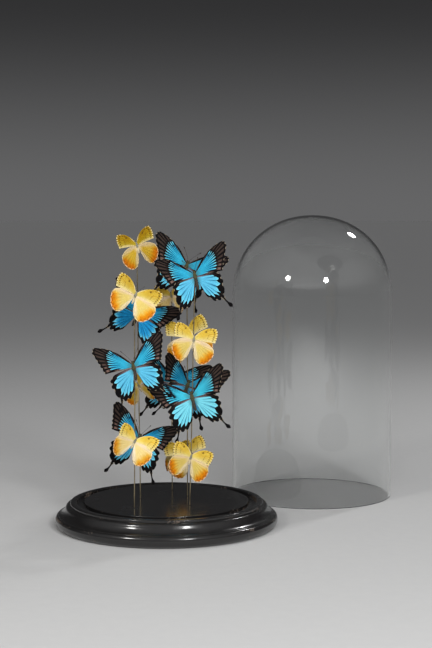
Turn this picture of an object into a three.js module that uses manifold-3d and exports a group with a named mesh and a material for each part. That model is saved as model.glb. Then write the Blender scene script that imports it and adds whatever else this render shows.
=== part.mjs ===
// Butterflies fixed to five wires on a turned, blackened base, with the glass dome standing beside it.
// Millimetres, +Z up. The origin is the centre of the base's underside. +X runs to the right and
// +Y to the back, where the lifted dome stands.
import * as THREE from 'three';
import { mergeVertices } from 'three/addons/utils/BufferGeometryUtils.js';
import Module from 'manifold-3d';

const wasm = await Module();
wasm.setup();

// Driving dimensions of the base.
const BASE_RADIUS = 165;
const BASE_FOOT_RADIUS = 155;
const EDGE_HEIGHT = 18;
const FILLET_RADIUS = 160.5;
const OGEE = [[155, 21.5], [151.5, 26.5], [146, 30]];
const BEAD_RADIUS = 142.8;
const BEAD_INNER_RADIUS = 133.5;
const BEAD_TOP = 36.5;
const BEAD_ROUND = 4.5;
const GROOVE_FLOOR = 31;
const DISC_RADIUS = 121.5;
const DISC_TOP = 36.8;
const ARRIS = 0.8;
const BASE_SIDES = 40;

// Driving dimensions of the dome, which stands on its rim behind the base and to its right.
const DOME_RADIUS = 130.8;
const DOME_WALL = 3;
const DOME_HEIGHT = 459.5;
const DOME_FULLNESS = 2.08;
const DOME_PLACE = [231, 236];
const DOME_SIDES = 32;
const DOME_CAP_STEPS = 7;

// The wires stand in blind holes in the disc.
const WIRE_RADIUS = 0.8;
const WIRE_SIDES = 8;
const HOLE_DEPTH = 8;
const GAP = 0.3;
const WIRES = {
  front_left: { foot: [-44.5, -60], top: [-42.5, -60], height: 352 },
  mid_left: { foot: [-39.5, 8], top: [-43.3, 8], height: 424 },
  rear: { foot: [6, 75], top: [5.5, 75], height: 345 },
  mid_right: { foot: [30.5, 28], top: [30, 28], height: 391 },
  front_right: { foot: [35, -42], top: [43.5, -42], height: 379 },
};

// A side of a wing outline is [end, steps] when straight, [control, end, steps] when bowed once and
// [control, control, end, steps] when bowed twice. Lengths are in units of the forewing's length.
// A forewing's tip lies on +X; a hindwing's +X points outwards and its +Y to the head.
const SWALLOWTAIL = {
  forewing: 65,
  thickness: 0.9,
  foreOutline: {
    start: [0, 0.03],
    sides: [
      [[0.28, 0.17], [0.72, 0.17], [0.97, 0.04], 3],
      [[1.01, -0.01], [0.96, -0.1], 2],
      [[0.7, -0.27], [0.5, -0.41], 2],
      [[0, -0.04], 1],
    ],
  },
  hindOutline: {
    start: [0, 0.03],
    sides: [
      [[0.3, 0.06], [0.55, -0.06], 2],
      [[0.66, -0.22], [0.49, -0.57], 3],
      [[0.475, -0.67], [0.57, -0.8], 2],
      [[0.62, -0.87], [0.52, -0.86], 2],
      [[0.45, -0.74], [0.4, -0.64], 1],
      [[0.2, -0.68], [0.085, -0.44], 2],
      [[0.02, -0.1], 1],
    ],
  },
  foreRoot: [2, 2, 1.4],
  hindRoot: [1.5, -3, 0.9],
  // Radius and distance along the body, from the tip of the abdomen to the head.
  body: [
    [0, -21], [1.6, -19], [2.7, -13], [2.3, -7], [3.6, -2], [3.2, 3.5], [2, 5.5], [2.3, 7.5], [0, 9.5],
  ],
  bodySides: 6,
};
const YELLOW = {
  forewing: 38,
  thickness: 0.8,
  foreOutline: {
    start: [0, 0.05],
    sides: [
      [[0.3, 0.24], [0.7, 0.22], [0.96, 0.05], 3],
      [[1.02, -0.02], [0.97, -0.15], 2],
      [[0.9, -0.34], [0.72, -0.47], 2],
      [[0, -0.06], 1],
    ],
  },
  hindOutline: {
    start: [0, 0.03],
    sides: [
      [[0.45, 0.14], [0.8, -0.1], 2],
      [[1.0, -0.3], [0.8, -0.6], 3],
      [[0.62, -0.88], [0.38, -0.86], 2],
      [[0.12, -0.8], [0.05, -0.38], 2],
    ],
  },
  foreRoot: [1.2, 1.5, 1],
  hindRoot: [1, -2, 0.6],
  body: [
    [0, -14], [1.2, -12.6], [1.9, -8.5], [1.6, -4.5], [2.6, -1], [2.3, 2.6], [1.5, 4], [1.7, 5.6], [0, 7],
  ],
  bodySides: 6,
};

// Where each butterfly sits. height: thorax above the table. lean: head tipped to the left of upright.
// turn: facing round to the right. pitch: head tipped forwards. spread: forewing tip away from the
// head's direction. fold: wings raised off flat. hind: hindwing swung towards the head. Left then
// right, in degrees.
const BUTTERFLIES = {
  yellow_front_left_high: {
    kind: YELLOW, wire: 'front_left', height: 345, size: 1, lean: -24, turn: 16, pitch: -8,
    spread: [60, 68], fold: [20, 16], hind: [6, 2],
  },
  blue_front_left: {
    kind: SWALLOWTAIL, wire: 'front_left', height: 242, size: 0.98, lean: 12, turn: -14, pitch: 0,
    spread: [57, 50], fold: [6, 2], hind: [-4, 8],
  },
  yellow_front_left_low: {
    kind: YELLOW, wire: 'front_left', height: 135, size: 0.94, lean: -30, turn: 14, pitch: -6,
    spread: [68, 65], fold: [32, 36], hind: [4, 6],
  },
  yellow_mid_left_high: {
    kind: YELLOW, wire: 'mid_left', height: 415, size: 0.94, lean: 16, turn: 5, pitch: 0,
    spread: [55, 53], fold: [38, 40], hind: [-3, 3],
  },
  blue_mid_left_high: {
    kind: SWALLOWTAIL, wire: 'mid_left', height: 314, size: 1, lean: -25, turn: 12, pitch: -6,
    spread: [57, 66], fold: [28, 32], hind: [12, 12],
  },
  yellow_mid_left_low: {
    kind: YELLOW, wire: 'mid_left', height: 207, size: 0.8, lean: 24, turn: 0, pitch: 0,
    spread: [56, 38], fold: [40, 36], hind: [16, 2],
  },
  blue_mid_left_low: {
    kind: SWALLOWTAIL, wire: 'mid_left', height: 127, size: 1, lean: -21, turn: -10, pitch: 0,
    spread: [50, 52], fold: [26, 19], hind: [-8, 11],
  },
  yellow_rear_high: {
    kind: YELLOW, wire: 'rear', height: 337, size: 0.85, lean: 8, turn: 0, pitch: 0,
    spread: [57, 57], fold: [42, 58], hind: [0, 0],
  },
  blue_rear: {
    kind: SWALLOWTAIL, wire: 'rear', height: 204, size: 1, lean: -13, turn: 0, pitch: 0,
    spread: [56, 55], fold: [30, 12], hind: [0, 0],
  },
  yellow_rear_low: {
    kind: YELLOW, wire: 'rear', height: 96, size: 0.82, lean: -3, turn: 46, pitch: 0,
    spread: [57, 57], fold: [25, 20], hind: [0, 0],
  },
  blue_mid_right_high: {
    kind: SWALLOWTAIL, wire: 'mid_right', height: 383, size: 1, lean: -20, turn: -4, pitch: 0,
    spread: [60, 60], fold: [16, 20], hind: [0, 0],
  },
  yellow_mid_right_high: {
    kind: YELLOW, wire: 'mid_right', height: 277, size: 1.07, lean: 11, turn: 0, pitch: 0,
    spread: [43, 43], fold: [38, 18], hind: [6, 0],
  },
  blue_mid_right_low: {
    kind: SWALLOWTAIL, wire: 'mid_right', height: 205, size: 1, lean: -20, turn: 6, pitch: 0,
    spread: [56, 52], fold: [34, 12], hind: [4, 5],
  },
  yellow_mid_right_low: {
    kind: YELLOW, wire: 'mid_right', height: 102, size: 0.98, lean: 15, turn: -4, pitch: 0,
    spread: [50, 54], fold: [22, 26], hind: [0, 0],
  },
  blue_front_right_high: {
    kind: SWALLOWTAIL, wire: 'front_right', height: 371, size: 1, lean: 12, turn: 0, pitch: -6,
    spread: [63, 55], fold: [32, 27], hind: [3, 8],
  },
  yellow_front_right_high: {
    kind: YELLOW, wire: 'front_right', height: 280, size: 0.97, lean: -5, turn: 6, pitch: 0,
    spread: [52, 64], fold: [28, 28], hind: [6, -8],
  },
  blue_front_right_low: {
    kind: SWALLOWTAIL, wire: 'front_right', height: 196, size: 1, lean: 14, turn: 0, pitch: -6,
    spread: [62, 57], fold: [12, 25], hind: [0, 6],
  },
  yellow_front_right_low: {
    kind: YELLOW, wire: 'front_right', height: 109, size: 0.95, lean: -16, turn: 4, pitch: 0,
    spread: [62, 67], fold: [34, 36], hind: [6, 2],
  },
};

const LACQUER = new THREE.MeshStandardMaterial({ color: 0x141416, roughness: 0.25, metalness: 0 });
const GLASS = new THREE.MeshStandardMaterial({ color: 0xdfe6e6, roughness: 0.03, metalness: 0 });
const BRASS = new THREE.MeshStandardMaterial({ color: 0x8a7a55, roughness: 0.4, metalness: 1 });
const BLUE = new THREE.MeshStandardMaterial({ color: 0x2fa4dc, roughness: 0.6, metalness: 0 });
const SULPHUR = new THREE.MeshStandardMaterial({ color: 0xe8c35a, roughness: 0.8, metalness: 0 });

const radians = THREE.MathUtils.degToRad;

// A closed geometry as a solid that can be cut and joined: corners welded, empty triangles dropped.
function solid(geometry) {
  const bare = geometry.clone();
  bare.deleteAttribute('normal');
  bare.deleteAttribute('uv');
  const welded = mergeVertices(bare, 1e-4);
  const corners = Array.from(welded.index.array);
  const triangles = [];
  for (let i = 0; i < corners.length; i += 3) {
    const [a, b, c] = corners.slice(i, i + 3);
    if (a !== b && b !== c && c !== a) {
      triangles.push(a, b, c);
    }
  }
  return new wasm.Manifold(new wasm.Mesh({
    numProp: 3,
    vertProperties: welded.attributes.position.array,
    triVerts: new Uint32Array(triangles),
  }));
}

function geometryOf(body) {
  const mesh = body.getMesh();
  const geometry = new THREE.BufferGeometry();
  geometry.setAttribute('position', new THREE.BufferAttribute(mesh.vertProperties, 3));
  geometry.setIndex(new THREE.BufferAttribute(mesh.triVerts, 1));
  geometry.computeVertexNormals();
  return geometry;
}

// Turns a [radius, height] profile about the vertical axis.
function turned(profile, sides) {
  const points = profile.map(([radius, height]) => new THREE.Vector2(radius, height));
  const geometry = new THREE.LatheGeometry(points, sides);
  geometry.rotateX(Math.PI / 2);
  return geometry;
}

// Points of a quarter turn from one angle to another on an ellipse in the [radius, height] plane.
function arc(centre, radii, from, to, steps) {
  const points = [];
  for (let i = 0; i <= steps; i += 1) {
    const angle = radians(from + ((to - from) * i) / steps);
    points.push([centre[0] + radii[0] * Math.cos(angle), centre[1] + radii[1] * Math.sin(angle)]);
  }
  return points;
}

function makeBase() {
  const edgeBulge = BASE_RADIUS - BASE_FOOT_RADIUS;
  const edge = arc([BASE_FOOT_RADIUS, EDGE_HEIGHT / 2], [edgeBulge, EDGE_HEIGHT / 2], -90, 60, 5);
  const beadCentre = [BEAD_RADIUS - BEAD_ROUND, BEAD_TOP - BEAD_ROUND];
  const bead = arc(beadCentre, [BEAD_ROUND, BEAD_ROUND], 0, 90, 2);
  const profile = [
    [0, 0],
    ...edge,
    [FILLET_RADIUS, EDGE_HEIGHT],
    ...OGEE,
    ...bead,
    [BEAD_INNER_RADIUS, BEAD_TOP - ARRIS],
    [BEAD_INNER_RADIUS, GROOVE_FLOOR],
    [DISC_RADIUS, GROOVE_FLOOR],
    [DISC_RADIUS, DISC_TOP - ARRIS],
    [DISC_RADIUS - ARRIS, DISC_TOP],
    [0, DISC_TOP],
  ];
  let body = solid(turned(profile, BASE_SIDES));
  const hole = new THREE.CylinderGeometry(WIRE_RADIUS + GAP, WIRE_RADIUS + GAP, HOLE_DEPTH * 2, WIRE_SIDES);
  hole.rotateX(Math.PI / 2);
  Object.values(WIRES).forEach(({ foot }) => {
    const drill = hole.clone().translate(foot[0], foot[1], DISC_TOP);
    body = body.subtract(solid(drill));
  });
  return new THREE.Mesh(geometryOf(body), LACQUER);
}

// A quarter of a slightly full circle: the profile of the dome's cap, from its side to its crown.
function capProfile(radius, crown) {
  const points = [];
  for (let i = 0; i <= DOME_CAP_STEPS; i += 1) {
    const angle = (Math.PI / 2) * (i / DOME_CAP_STEPS);
    const across = radius * Math.cos(angle) ** (2 / DOME_FULLNESS);
    const up = radius * Math.sin(angle) ** (2 / DOME_FULLNESS);
    points.push([i === DOME_CAP_STEPS ? 0 : across, crown - radius + up]);
  }
  return points;
}

function makeDome() {
  const inner = DOME_RADIUS - DOME_WALL;
  const profile = [
    ...capProfile(inner, DOME_HEIGHT - DOME_WALL).reverse(),
    [inner, ARRIS],
    [inner + ARRIS, 0],
    [DOME_RADIUS - ARRIS, 0],
    [DOME_RADIUS, ARRIS],
    ...capProfile(DOME_RADIUS, DOME_HEIGHT),
  ];
  const dome = new THREE.Mesh(turned(profile, DOME_SIDES), GLASS);
  dome.position.set(DOME_PLACE[0], DOME_PLACE[1], 0);
  return dome;
}

// The centre of a wire at a height above the table.
function wireAt({ foot, top, height }, at) {
  const along = (at - DISC_TOP) / (height - DISC_TOP);
  return new THREE.Vector3(
    THREE.MathUtils.lerp(foot[0], top[0], along),
    THREE.MathUtils.lerp(foot[1], top[1], along),
    at,
  );
}

function makeWire(wire) {
  const low = wireAt(wire, DISC_TOP - HOLE_DEPTH + GAP);
  const high = wireAt(wire, wire.height);
  const along = new THREE.Vector3().subVectors(high, low);
  const rod = new THREE.CylinderGeometry(WIRE_RADIUS, WIRE_RADIUS, along.length(), WIRE_SIDES);
  const mesh = new THREE.Mesh(rod, BRASS);
  mesh.position.addVectors(low, high).multiplyScalar(0.5);
  mesh.quaternion.setFromUnitVectors(new THREE.Vector3(0, 1, 0), along.normalize());
  return mesh;
}

// The outline of a wing as points, mirrored for a left wing, scaled and swung by an angle.
function wingOutline({ start, sides }, length, swing, mirror) {
  const points = [new THREE.Vector2(...start)];
  sides.forEach((side) => {
    const steps = side.at(-1);
    const knots = [points.at(-1), ...side.slice(0, -1).map((xy) => new THREE.Vector2(...xy))];
    const curves = { 2: THREE.LineCurve, 3: THREE.QuadraticBezierCurve, 4: THREE.CubicBezierCurve };
    const curve = new curves[knots.length](...knots);
    points.push(...curve.getPoints(steps).slice(1));
  });
  const origin = new THREE.Vector2();
  return points.map((point) => {
    const placed = point.clone().rotateAround(origin, swing).multiplyScalar(length);
    return new THREE.Vector2(placed.x * mirror, placed.y);
  });
}

// One flat wing, raised by its fold about the line where it meets the body.
function makeWing(outline, length, swing, fold, root, thickness, mirror) {
  const shape = new THREE.Shape(wingOutline(outline, length, swing, mirror));
  const wing = new THREE.ExtrudeGeometry(shape, { depth: thickness, bevelEnabled: false });
  wing.translate(0, 0, -thickness / 2);
  wing.rotateY(-fold * mirror);
  wing.translate(root[0] * mirror, root[1], root[2]);
  return solid(wing);
}

// A whole butterfly lying in the XY plane: head to +Y, back to +Z.
function butterflyBody({ kind, size, spread, fold, hind }) {
  const length = kind.forewing * size;
  const profile = kind.body.map(([radius, along]) => new THREE.Vector2(radius * size, along * size));
  let body = solid(new THREE.LatheGeometry(profile, kind.bodySides));
  [-1, 1].forEach((mirror, side) => {
    const lift = radians(fold[side]);
    const swing = radians(90 - spread[side]);
    const foreRoot = kind.foreRoot.map((value) => value * size);
    const hindRoot = kind.hindRoot.map((value) => value * size);
    const fore = makeWing(kind.foreOutline, length, swing, lift, foreRoot, kind.thickness, mirror);
    const rear = makeWing(
      kind.hindOutline, length, radians(hind[side]), lift, hindRoot, kind.thickness, mirror,
    );
    body = body.add(fore).add(rear);
  });
  return body;
}

// Stands a butterfly against its wire, its thorax touching the wire but for the gap.
function makeButterfly(fly) {
  const wire = WIRES[fly.wire];
  const thorax = Math.max(...fly.kind.body.map(([radius]) => radius)) * fly.size;
  const standoff = thorax + WIRE_RADIUS + GAP;
  const turn = radians(fly.turn);
  const place = wireAt(wire, fly.height);
  const paint = fly.kind === SWALLOWTAIL ? BLUE : SULPHUR;
  const mesh = new THREE.Mesh(geometryOf(butterflyBody(fly)), paint);
  mesh.position.set(
    place.x + standoff * Math.sin(turn),
    place.z,
    -place.y + standoff * Math.cos(turn),
  );
  mesh.rotation.set(radians(fly.pitch), turn, radians(fly.lean), 'YXZ');
  return mesh;
}

function named(mesh, name) {
  mesh.name = name;
  return mesh;
}

const part = new THREE.Group();
part.add(named(makeBase(), 'base'));
part.add(named(makeDome(), 'glass_dome'));
Object.entries(WIRES).forEach(([name, wire]) => {
  part.add(named(makeWire(wire), `wire_${name}`));
});

// The butterflies are laid out upright in X and Y, then stood up with the whole group.
const butterflies = new THREE.Group();
butterflies.rotation.x = Math.PI / 2;
Object.entries(BUTTERFLIES).forEach(([name, fly]) => {
  butterflies.add(named(makeButterfly(fly), name));
});
part.add(butterflies);

export default part;
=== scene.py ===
"""Butterflies glued to five brass wires in a turned, ebonised base, with the glass dome beside it.

Metres, +Z up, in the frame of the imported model. Shapes are surfaces worked out as whole arrays
and written in millimetres; fill() turns them into meshes in metres.
"""
from collections import namedtuple
from math import cos, pi, radians, sin

import bmesh
import bpy
import numpy as np
from mathutils import Matrix, Vector


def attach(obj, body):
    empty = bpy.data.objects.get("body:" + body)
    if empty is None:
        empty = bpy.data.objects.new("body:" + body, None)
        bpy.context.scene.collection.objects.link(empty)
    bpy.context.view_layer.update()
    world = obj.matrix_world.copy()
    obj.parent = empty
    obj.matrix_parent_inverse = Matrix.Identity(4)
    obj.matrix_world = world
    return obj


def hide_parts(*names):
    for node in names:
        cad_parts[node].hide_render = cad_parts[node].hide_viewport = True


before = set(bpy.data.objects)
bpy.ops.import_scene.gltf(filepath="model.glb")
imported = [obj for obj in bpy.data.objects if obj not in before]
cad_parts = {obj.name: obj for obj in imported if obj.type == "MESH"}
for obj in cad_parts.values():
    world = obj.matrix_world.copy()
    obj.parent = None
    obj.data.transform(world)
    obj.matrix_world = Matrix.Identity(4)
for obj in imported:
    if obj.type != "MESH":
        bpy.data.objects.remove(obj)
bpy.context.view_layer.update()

MM = 0.001
TAU = 2 * pi

# ---------------------------------------------------------------- sizes, in millimetres

BASE_RADIUS = 165.0
BASE_FOOT_RADIUS = 155.0
EDGE_HEIGHT = 18.0
FILLET_RADIUS = 160.5
OGEE_TOP_RADIUS = 146.2
OGEE_TURN = (150.2, 28.0)
BEAD_RADIUS = 142.8
BEAD_ROUND = 4.3
BEAD_TOP = 36.5
BEAD_INNER_RADIUS = 133.5
GROOVE_FLOOR = 31.0
DISC_RADIUS = 121.5
DISC_TOP = 36.8

DOME_RADIUS = 130.8
DOME_WALL = 3.0
DOME_HEIGHT = 459.5
DOME_FULLNESS = 2.08
DOME_PLACE = (231.0, 236.0)
# The small blister in the dome's wall, in metres.
BLISTER = (0.1963, 0.1099, 0.0315)
BLISTER_RADIUS = 0.0045

# Radii of the arrises where the lacquer is worn, and how wide the wear is.
WORN_ARRISES = (
    (BEAD_INNER_RADIUS, 1.6), (BEAD_RADIUS, 1.1), (DISC_RADIUS, 1.2), (BASE_RADIUS - 1.5, 1.6))
# The fine rings left by turning, in radians for a metre of radius.
TURNING_RINGS = 5200.0
# Radius and height, above the disc, of the collar of black filler round the foot of a wire.
COLLAR = ((0, -0.6), (2.1, -0.6), (2.2, 0.0), (1.7, 0.25), (1.0, 0.75), (0, 0.8))

WIRE_RADIUS = 0.8
WIRE_SINK = 7.7
WIRE_GAP = 0.3

Wire = namedtuple("Wire", "foot top height")
WIRES = {
    "front_left": Wire((-44.5, -60), (-42.5, -60), 352),
    "mid_left": Wire((-39.5, 8), (-43.3, 8), 424),
    "rear": Wire((6, 75), (5.5, 75), 345),
    "mid_right": Wire((30.5, 28), (30, 28), 391),
    "front_right": Wire((35, -42), (43.5, -42), 379),
}

# A butterfly is named by kind, wire and level. height: thorax above the table. lean: head tipped to the
# left of upright. turn: facing round to the right. pitch: head tipped forwards. spread: forewing tip away
# from the head's direction. fold: wings raised off flat. hind: hindwing swung towards the head. These
# three are left, then right, and all angles are degrees. depth: how deep the colour of the
# forewings is, then of the hindwings, from 0, pale, to 1, deep, and on to 1.5 in a yellow hindwing. It is
# partly the specimen's own colour and partly painted shade: deeper on the highest butterflies and on
# those in shadow, paler on those the lamps leave too dark.
Fly = namedtuple("Fly", "kind wire level height size lean turn pitch spread fold hind depth")
FLIES = (
    Fly("yellow", "front_left", "high", 345, 1, -24, 16, -8, (60, 68), (20, 16), (6, 2), (0.5, 0.9)),
    Fly("blue", "front_left", "", 242, 0.98, 12, -14, 0, (57, 50), (6, 2), (-4, 8), (0.5, 0.45)),
    Fly("yellow", "front_left", "low", 135, 0.94, -30, 14, -6, (68, 65), (32, 36), (4, 6), (0.1, 0.6)),
    Fly("yellow", "mid_left", "high", 415, 0.94, 16, 5, 0, (55, 53), (38, 40), (-3, 3), (1, 1.5)),
    Fly("blue", "mid_left", "high", 314, 1, -25, 12, -6, (57, 66), (28, 32), (12, 12), (0.9, 1)),
    Fly("yellow", "mid_left", "low", 207, 0.8, 24, 0, 0, (56, 38), (40, 36), (16, 2), (0.4, 1.3)),
    Fly("blue", "mid_left", "low", 127, 1, -21, -10, 0, (50, 52), (26, 19), (-8, 11), (0.9, 0.6)),
    Fly("yellow", "rear", "high", 337, 0.85, 8, 0, 0, (57, 57), (42, 58), (0, 0), (0.5, 0.5)),
    Fly("blue", "rear", "", 204, 1, -13, 0, 0, (56, 55), (30, 12), (0, 0), (0.7, 0.7)),
    Fly("yellow", "rear", "low", 96, 0.82, -3, 46, 0, (57, 57), (25, 20), (0, 0), (0.8, 0.9)),
    Fly("blue", "mid_right", "high", 383, 1, -20, -4, 0, (60, 60), (16, 20), (0, 0), (0.5, 0.6)),
    Fly("yellow", "mid_right", "high", 277, 1.07, 11, 0, 0, (43, 43), (38, 18), (6, 0), (0.15, 0.7)),
    Fly("blue", "mid_right", "low", 205, 1, -20, 6, 0, (56, 52), (34, 12), (4, 5), (0.8, 0.8)),
    Fly("yellow", "mid_right", "low", 102, 0.98, 15, -4, 0, (50, 54), (22, 26), (0, 0), (0.1, 0.8)),
    Fly("blue", "front_right", "high", 371, 1, 12, 0, -6, (63, 55), (32, 27), (3, 8), (0.5, 0.45)),
    Fly("yellow", "front_right", "high", 280, 0.97, -5, 6, 0, (52, 64), (28, 28), (6, -8), (0.25, 0.95)),
    Fly("blue", "front_right", "low", 196, 1, 14, 0, -6, (62, 57), (12, 25), (0, 6), (0.1, 0)),
    Fly("yellow", "front_right", "low", 109, 0.95, -16, 4, 0, (62, 67), (34, 36), (6, 2), (0.2, 1)),
)
HOOKED = "blue_front_right_low"

# A wing is drawn in units of the forewing's length, +X outwards and +Y to the head. outline holds the
# knots of each side in turn, from the front of the root round to its back. veins are marks on it where
# a vein meets it: side 2 and a third along is 2.33. scallop is how deep the bay beside each vein is,
# patch is how far out the coloured patch reaches along it, and tooth is how long the patch's teeth are.
# cell is where the veins draw together, and root is in millimetres from the middle of the thorax.
# HOOK is the middle line of the black hook that runs into the patch of one forewing.
Wing = namedtuple("Wing", "outline veins scallop patch tooth cell root tail")
Tail = namedtuple("Tail", "vein knots foot neck club")
Kind = namedtuple("Kind", "length thickness fore hind body eye antenna fur_length fur_count")
HOOK = ((0.61, 0.14), (0.53, 0.02), (0.34, -0.105))

BLUE_FORE = Wing(
    outline=(
        ((0, 0.03), (0.28, 0.17), (0.72, 0.17), (0.97, 0.04)),
        ((0.97, 0.04), (1.01, -0.01), (0.96, -0.1)),
        ((0.96, -0.1), (0.7, -0.27), (0.5, -0.41)),
        ((0.5, -0.41), (0, -0.04)),
    ),
    veins=(0, 0.45, 0.6, 0.76, 0.92, 1.35, 1.95, 2.2, 2.42, 2.62, 2.81, 3.03, 4),
    scallop=(0, 0, 0, 0, 0.003, 0.006, 0.008, 0.01, 0.01, 0.01, 0.01, 0.004, 0),
    patch=(0, 0.05, 0.9, 0.73, 0.62, 0.57, 0.58, 0.6, 0.64, 0.68, 0.71, 0.66, 0.5),
    tooth=0.2,
    cell=(0.5, 0.0),
    root=(2, 2, 1.4),
    tail=None,
)
BLUE_HIND = Wing(
    outline=(
        ((0, 0.03), (0.3, 0.06), (0.55, -0.06)),
        ((0.55, -0.06), (0.66, -0.22), (0.5, -0.57)),
        ((0.5, -0.57), (0.47, -0.63), (0.38, -0.65)),
        ((0.38, -0.65), (0.2, -0.68), (0.085, -0.44)),
        ((0.085, -0.44), (0.02, -0.1)),
    ),
    veins=(0, 0.8, 1.22, 1.52, 1.84, 2.4, 3.08, 3.42, 4, 5),
    scallop=(0, 0.02, 0.036, 0.036, 0.036, 0.036, 0.036, 0.034, 0.01, 0),
    patch=(0, 0.5, 0.83, 0.84, 0.82, 0.8, 0.81, 0.82, 0.78, 0),
    tooth=0.2,
    cell=(0.26, -0.2),
    root=(1.5, -3, 0.9),
    tail=Tail(5, ((0.445, -0.605), (0.4625, -0.705), (0.57, -0.88)), 0.055, 0.016, 0.032),
)
YELLOW_FORE = Wing(
    outline=(
        ((0, 0.05), (0.3, 0.24), (0.7, 0.22), (0.96, 0.05)),
        ((0.96, 0.05), (1.02, -0.02), (0.97, -0.15)),
        ((0.97, -0.15), (0.9, -0.34), (0.72, -0.47)),
        ((0.72, -0.47), (0, -0.06)),
    ),
    veins=(0, 0.5, 0.66, 0.81, 0.95, 1.5, 2, 2.25, 2.5, 2.75, 3.02, 4),
    scallop=(0, 0, 0, 0.008, 0.02, 0.032, 0.036, 0.036, 0.036, 0.032, 0.012, 0),
    patch=(1,) * 12,
    tooth=0,
    cell=(0.5, 0.04),
    root=(1.2, 1.5, 1),
    tail=None,
)
YELLOW_HIND = Wing(
    outline=(
        ((0, 0.03), (0.45, 0.14), (0.8, -0.1)),
        ((0.8, -0.1), (1, -0.3), (0.8, -0.6)),
        ((0.8, -0.6), (0.62, -0.88), (0.38, -0.86)),
        ((0.38, -0.86), (0.12, -0.8), (0.05, -0.38)),
        ((0.05, -0.38), (0.01, -0.12)),
    ),
    veins=(0, 0.7, 1.15, 1.5, 1.85, 2.2, 2.55, 2.9, 3.4, 4, 5),
    scallop=(0, 0.008, 0.014, 0.014, 0.014, 0.014, 0.014, 0.014, 0.01, 0.004, 0),
    patch=(1,) * 11,
    tooth=0,
    cell=(0.36, -0.22),
    root=(1, -2, 0.6),
    tail=None,
)
# body: radius and distance along it, from the tip of the abdomen to the front of the head.
KINDS = {
    "blue": Kind(
        length=65.0,
        thickness=0.26,
        fore=BLUE_FORE,
        hind=BLUE_HIND,
        body=((0, -21), (1.5, -19.4), (2.5, -14), (2.3, -9), (2.4, -6.5), (3.5, -2), (3.2, 3), (1.8, 5.4),
              (2.1, 7.6), (0, 9.4)),
        eye=(1.5, 7.9, 0.5, 1.05),
        antenna=(24.0, 0.2, 0.62),
        fur_length=2.6,
        fur_count=420,
    ),
    "yellow": Kind(
        length=38.0,
        thickness=0.22,
        fore=YELLOW_FORE,
        hind=YELLOW_HIND,
        body=((0, -14), (1.1, -12.8), (1.8, -9), (1.6, -5.6), (1.7, -4), (2.5, -1), (2.3, 2.2), (1.4, 4),
              (1.6, 5.6), (0, 7)),
        eye=(1.15, 5.7, 0.4, 0.8),
        antenna=(14.0, 0.15, 0.42),
        fur_length=2.0,
        fur_count=330,
    ),
}

# How finely the surfaces are sampled.
LATHE_SIDES = 208
COLLAR_SIDES = 20
DOME_SIDE_ROWS = 34
DOME_CAP_ROWS = 44
WIRE_ROWS = 70
WIRE_SIDES = 14
BODY_ROWS = 56
BODY_SIDES = 18
WING_ROWS = 26
WING_COLUMNS_PER_SPACE = 7
TAIL_ROWS = 9
TAIL_COLUMNS = 13


# ---------------------------------------------------------------- surfaces

def bezier(knots, t):
    """Points on a Bezier curve: its knots are mixed pairwise, again and again, until one is left."""
    layer = np.repeat(np.array(knots, float)[:, None, :], len(t), axis=1)
    while len(layer) > 1:
        layer = layer[:-1] * (1 - t[:, None]) + layer[1:] * t[:, None]
    return layer[0]


def arc(centre, radii, start, end, steps):
    """Points of an elliptical arc: the centre plus the radii times cosine and sine of the angle."""
    angle = np.radians(np.linspace(start, end, steps))
    return np.column_stack([centre[0] + radii[0] * np.cos(angle), centre[1] + radii[1] * np.sin(angle)])


def smooth(x, low, high):
    """Rises from 0 at low to 1 at high, level at both ends: 3 t squared less 2 t cubed."""
    t = np.clip((np.asarray(x, float) - low) / (high - low), 0, 1)
    return t * t * (3 - 2 * t)


def unit(vectors, spare=0.0):
    """Each vector divided by its length. spare keeps one of no length from dividing by nothing."""
    return vectors / (np.linalg.norm(vectors, axis=-1, keepdims=True) + spare)


def turned(profile, sides, out_of_true=0.0):
    """A profile of radius and height turned about the Z axis. out_of_true is millimetres of slow
    waviness in the radius: sines of the angle that fade to nothing on the axis."""
    angle = np.linspace(0, TAU, sides, endpoint=False)
    radius, height = profile[:, 0, None], profile[:, 1, None]
    wave = np.sin(2 * angle + 0.6) + 0.6 * np.sin(3 * angle + height / 60) + 0.3 * np.sin(5 * angle + 2)
    radius = radius + out_of_true * wave * smooth(radius, 0, 40)
    height = np.broadcast_to(height, radius.shape)
    return np.stack([radius * np.cos(angle), radius * np.sin(angle), height], axis=-1)


def tube(path, radii, sides):
    """A round tube: a ring square to the path at each of its points, and at each end a ring drawn
    together to a point."""
    path = np.array(path, float)
    radii = np.array(radii, float)
    path = np.concatenate([path[:1], path, path[-1:]])
    radii = np.concatenate([[0], radii, [0]])
    along = unit(np.gradient(path, axis=0), 1e-9)
    across = unit(np.cross(along, (0.31, 0.17, 0.94)), 1e-9)
    up = np.cross(along, across)
    angle = np.linspace(0, TAU, sides, endpoint=False)[None, :, None]
    ring = across[:, None] * np.cos(angle) + up[:, None] * np.sin(angle)
    return path[:, None] + ring * radii[:, None, None]


def ball(centre, radii, rows=9, sides=12):
    """An ellipsoid: rings whose radius is the sine, and height the cosine, of an even angle."""
    angle = np.linspace(0, pi, rows)[:, None]
    around = np.linspace(0, TAU, sides, endpoint=False)[None, :]
    sphere = np.stack(
        [np.sin(angle) * np.cos(around), np.sin(angle) * np.sin(around), np.cos(angle) + 0 * around],
        axis=-1)
    return np.array(centre) + sphere * np.array(radii)


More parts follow.
